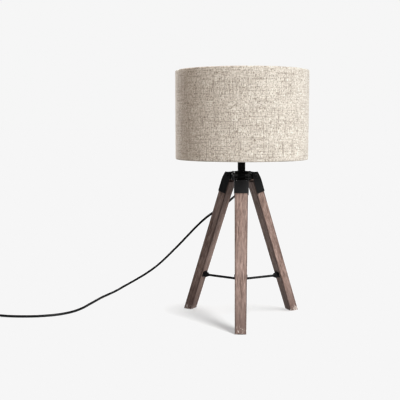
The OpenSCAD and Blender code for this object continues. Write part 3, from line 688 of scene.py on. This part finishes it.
class LAMP_OT_mains_lead(bpy.types.Operator):
    """The mains lead from the hub through its switch and coil to the plug"""
    bl_idname = "lamp.mains_lead"
    bl_label = "Mains lead"

    def execute(self, context):
        lead, metal = context.scene.lamp_lead, context.scene.lamp_metal
        sheath = lead_sheath(lead)
        plastic = black_plastic(metal)
        line = smooth(LEAD) + smooth(LINK)[:-1] + coil_line() + smooth(END)[1:]
        curve = bpy.data.curves.new("mains_lead", "CURVE")
        curve.dimensions = "3D"
        curve.bevel_depth = lead.diameter / 2
        curve.bevel_resolution = 6
        curve.use_fill_caps = True
        spline = curve.splines.new("POLY")
        spline.points.add(len(line) - 1)
        for point, place in zip(spline.points, line):
            point.co = (*place, 1)
        spline.use_smooth = True
        curve.materials.append(sheath)
        cord = bpy.data.objects.new("mains_lead", curve)
        context.scene.collection.objects.link(cord)
        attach(cord, "stand")
        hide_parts("cord_lead", "cord_link", "cord_coil", "cord_end")

        relief = ribbed_relief("lead_relief", smooth(LEAD[:RELIEF_POINTS + 1]), plastic, "stand")
        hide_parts("strain_relief")
        dress(["switch_base", "switch_cover"], plastic, 0.5 * MM)
        dress(["switch_rocker"], plastic, 0.4 * MM)
        dress(["cord_tie"], plastic, 0.3 * MM)
        dress(["plug_body"], plastic, 0.8 * MM)
        dress(["plug_pins"], plated_steel(metal), 0.3 * MM)
        return {"FINISHED"}


class LAMP_OT_linen_shade(bpy.types.Operator):
    """The linen drum: cloth rolled over both wire rings and glued over itself at the back"""
    bl_idname = "lamp.linen_shade"
    bl_label = "Linen shade"

    def execute(self, context):
        linen = context.scene.lamp_linen
        rim = self.profile(linen)
        count = len(rim)
        overlap = linen.overlap / SHADE_R
        rise = 0.6 * overlap
        clear = linen.thick * 1.15
        start = math.pi / 2 - overlap / 2
        angles = [start + (2 * math.pi + overlap) * k / CLOTH_COLUMNS for k in range(CLOTH_COLUMNS + 1)]
        points, faces = [], []
        for angle in angles:
            # The last stretch lies on the first: it lifts clear of it just before they meet
            past = angle - (start + 2 * math.pi)
            lift = clear * min(1.0, max(0.0, 1 + past / rise))
            for radius, height, inner in rim:
                r = radius + (-lift if inner else lift)
                points.append((r * math.cos(angle), r * math.sin(angle), height))
        for k in range(CLOTH_COLUMNS):
            middle = math.degrees((angles[k] + angles[k + 1]) / 2)
            slit = any(abs((middle - spoke + 180) % 360 - 180) < SLIT_HALF for spoke in SPOKES)
            first = len(TAIL_ROWS) + 1 if slit else 0
            here, after = k * count, (k + 1) * count
            faces += [(here + i, after + i, after + i + 1, here + i + 1) for i in range(first, count - 1)]
        cloth = mesh_piece("shade_cloth", points, faces, linen_cloth(linen), "stand", 180)
        thicken = cloth.modifiers.new("cloth_thickness", "SOLIDIFY")
        thicken.thickness = linen.thick
        thicken.offset = -1.0
        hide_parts("shade_fabric")
        dress(["shade_liner"], styrene_liner())
        dress(["shade_spider", "shade_top_wire"], white_coat(), 0.3 * MM)
        return {"FINISHED"}

    def profile(self, linen):
        """Radius, height and whether it lies inside, from the lower turned-in edge round to the upper"""
        inner_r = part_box("shade_liner")[1].x - WIRE_ROOM
        middle, half = (inner_r + SHADE_R) / 2, (SHADE_R - inner_r) / 2
        tail = [(inner_r, SHADE_Z + half + share * (linen.turned_in - half), True) for share in TAIL_ROWS]
        roll = [(middle - half * math.cos(a), SHADE_Z + half - half * math.sin(a), a < math.pi / 2)
                for a in (math.pi * k / ROLL_STEPS for k in range(ROLL_STEPS + 1))]
        lower = tail + roll
        wall_low, wall_high = SHADE_Z + half, SHADE_TOP - half
        wall = [(SHADE_R, wall_low + (wall_high - wall_low) * k / CLOTH_ROWS, False)
                for k in range(1, CLOTH_ROWS)]
        upper = [(r, SHADE_Z + SHADE_TOP - z, inner) for r, z, inner in reversed(lower)]
        return lower + wall + upper


class LAMP_OT_bulb_holder(bpy.types.Operator):
    """The bulb and the lampholder that carries it"""
    bl_idname = "lamp.bulb_holder"
    bl_label = "Bulb and lampholder"

    def execute(self, context):
        metal = context.scene.lamp_metal
        plastic = black_plastic(metal)
        dress(["bulb_glass"], opal_glass())
        dress(["bulb_cap"], threaded("bulb_cap_thread", tuple(metal.steel), 3.6 * MM, 1.0, 0.28))
        dress(["holder_cap"], plastic, 0.5 * MM)
        dress(["shade_ring"], plastic, 0.3 * MM)
        dress(["holder_shell"], threaded("holder_thread", tinted(metal.black, 1.15), 2.5 * MM, 0.0, 0.45),
              0.3 * MM)
        dress(["holder_insert"], porcelain(), 0.3 * MM)
        dress(["holder_contacts"], stamped_brass(metal), 0.1 * MM)
        return {"FINISHED"}


class LAMP_OT_hub(bpy.types.Operator):
    """Stem, hub, pivots and the pressed brackets on the legs' tops"""
    bl_idname = "lamp.hub"
    bl_label = "Hub and brackets"

    def execute(self, context):
        metal = context.scene.lamp_metal
        coat = powder_coat(metal)
        matt = powder_coat(metal, "matt_powder_coat", 0.03)
        dress(["hub"], matt, 1.5 * metal.edge)
        dress(["stem"], matt, metal.edge)
        dress(["pivot_nuts"] + per_side("pivot_bolt"), coat, metal.edge)
        dress(per_side("bracket"), coat, metal.edge)
        dress(per_side("screws"), coat, 0.15 * MM)
        dress(["pivot_spacers"], coat, 0.2 * MM)
        dress(["hub_nuts"], plated_steel(metal), 0.2 * MM)
        dress(["pipe"], threaded("pipe_thread", tuple(metal.steel), 1.0 * MM, 1.0, 0.3))
        return {"FINISHED"}


class LAMP_OT_legs(bpy.types.Operator):
    """The three wooden legs and the felt pads under them"""
    bl_idname = "lamp.legs"
    bl_label = "Legs"

    def execute(self, context):
        for side in SIDES:
            dress(["leg_" + side], leg_wood(context.scene.lamp_wood, side), 1.0 * MM)
        dress(per_side("pad"), pressed_felt(), 0.4 * MM)
        return {"FINISHED"}


class LAMP_OT_spreader(bpy.types.Operator):
    """The folding spreader: clevises, rods, pins and the centre piece"""
    bl_idname = "lamp.spreader"
    bl_label = "Spreader"

    def execute(self, context):
        metal = context.scene.lamp_metal
        coat = powder_coat(metal)
        dress(per_side("clevis", "arm") + ["brace_boss"], coat, metal.edge)
        dress(per_side("clevis_pin", "arm_pin"), coat, 0.15 * MM)
        return {"FINISHED"}


class LAMP_OT_lights(bpy.types.Operator):
    """Soft studio lights on the lamp, and the light on the floor that gives the legs their shadows"""
    bl_idname = "lamp.lights"
    bl_label = "Lights"

    def execute(self, context):
        view = context.scene.lamp_view
        floor = [context.scene.objects["floor"]]
        cloth = [context.scene.objects["shade_cloth"]]
        head = [nodes[name] for name in ("stem", "hub")]
        inside = [nodes[name] for name in ("shade_liner", "shade_spider", "shade_top_wire",
                                           "bulb_glass", "bulb_cap")]
        switch_and_plug = [nodes[name] for name in ("switch_base", "switch_cover", "switch_rocker",
                                                    "plug_body")]
        for name, strength, left_out in (("key_light", view.key, inside + switch_and_plug),
                                         ("top_light", view.top, head + inside),
                                         ("side_light", view.side, inside),
                                         ("rim_light", view.rim, [])):
            light = self.sun(name, strength)
            self.choose(light, "receiver_collection", floor + left_out, "EXCLUDE")
            if name == "top_light":
                self.choose(light, "blocker_collection", cloth + [nodes["shade_liner"]], "EXCLUDE")
        shade_fill = self.sun("shade_fill", view.shade_fill)
        shade_fill.data.color = view.warm
        self.choose(shade_fill, "receiver_collection", cloth, "INCLUDE")
        self.choose(self.sun("inside_light", view.inside), "receiver_collection", inside, "INCLUDE")
        table_fill = self.sun("table_fill", view.table_fill)
        table_fill.data.use_shadow = False
        self.choose(table_fill, "receiver_collection", floor, "INCLUDE")
        for name, strength, sides in (("table_front", view.table_front, ("front",)),
                                      ("table_sides", view.table_sides, ("left", "right"))):
            light = self.sun(name, strength)
            self.choose(light, "receiver_collection", floor, "INCLUDE")
            standing = [nodes[f"{stem}_{side}"] for stem in ("leg", "pad", "bracket") for side in sides]
            self.choose(light, "blocker_collection", standing, "INCLUDE")
        return {"FINISHED"}

    def sun(self, name, strength):
        """A far light, from where LIGHTS says"""
        azimuth, height, width = (math.radians(angle) for angle in LIGHTS[name])
        light = bpy.data.lights.new(name, "SUN")
        light.energy = strength
        light.angle = width
        lamp = bpy.data.objects.new(name, light)
        towards = Vector((math.cos(azimuth) * math.cos(height), math.sin(azimuth) * math.cos(height),
                          math.sin(height)))
        lamp.rotation_euler = towards.to_track_quat("Z", "Y").to_euler()
        bpy.context.scene.collection.objects.link(lamp)
        return lamp

    def choose(self, light, kind, things, state):
        """Lets a light fall on, or be blocked by, only some things, or all but those"""
        chosen = bpy.data.collections.new(light.name + "_" + kind.split("_")[0])
        for thing in things:
            chosen.objects.link(thing)
        setattr(light.light_linking, kind, chosen)
        for entry in chosen.collection_objects:
            entry.light_linking.link_state = state


PIECES = (LAMP_OT_stage, LAMP_OT_mains_lead, LAMP_OT_linen_shade, LAMP_OT_bulb_holder, LAMP_OT_hub,
          LAMP_OT_legs, LAMP_OT_spreader, LAMP_OT_lights)


class LAMP_PT_pieces(bpy.types.Panel):
    """The lamp's pieces and their settings"""
    bl_label = "Tripod table lamp"
    bl_space_type = "VIEW_3D"
    bl_region_type = "UI"
    bl_category = "Lamp"

    def draw(self, context):
        for name, group in SETTINGS.items():
            box = self.layout.box()
            for setting in group.__annotations__:
                box.prop(getattr(context.scene, name), setting)
        for piece in PIECES:
            self.layout.operator(piece.bl_idname)


CLASSES = (*SETTINGS.values(), *PIECES, LAMP_PT_pieces)


def register():
    for item in CLASSES:
        bpy.utils.register_class(item)
    for name, group in SETTINGS.items():
        setattr(bpy.types.Scene, name, PointerProperty(type=group))


def unregister():
    for name in SETTINGS:
        delattr(bpy.types.Scene, name)
    for item in reversed(CLASSES):
        bpy.utils.unregister_class(item)


def main():
    register()
    for piece in PIECES:
        family, name = piece.bl_idname.split(".")
        getattr(getattr(bpy.ops, family), name)()


if __name__ == "__main__":
    main()
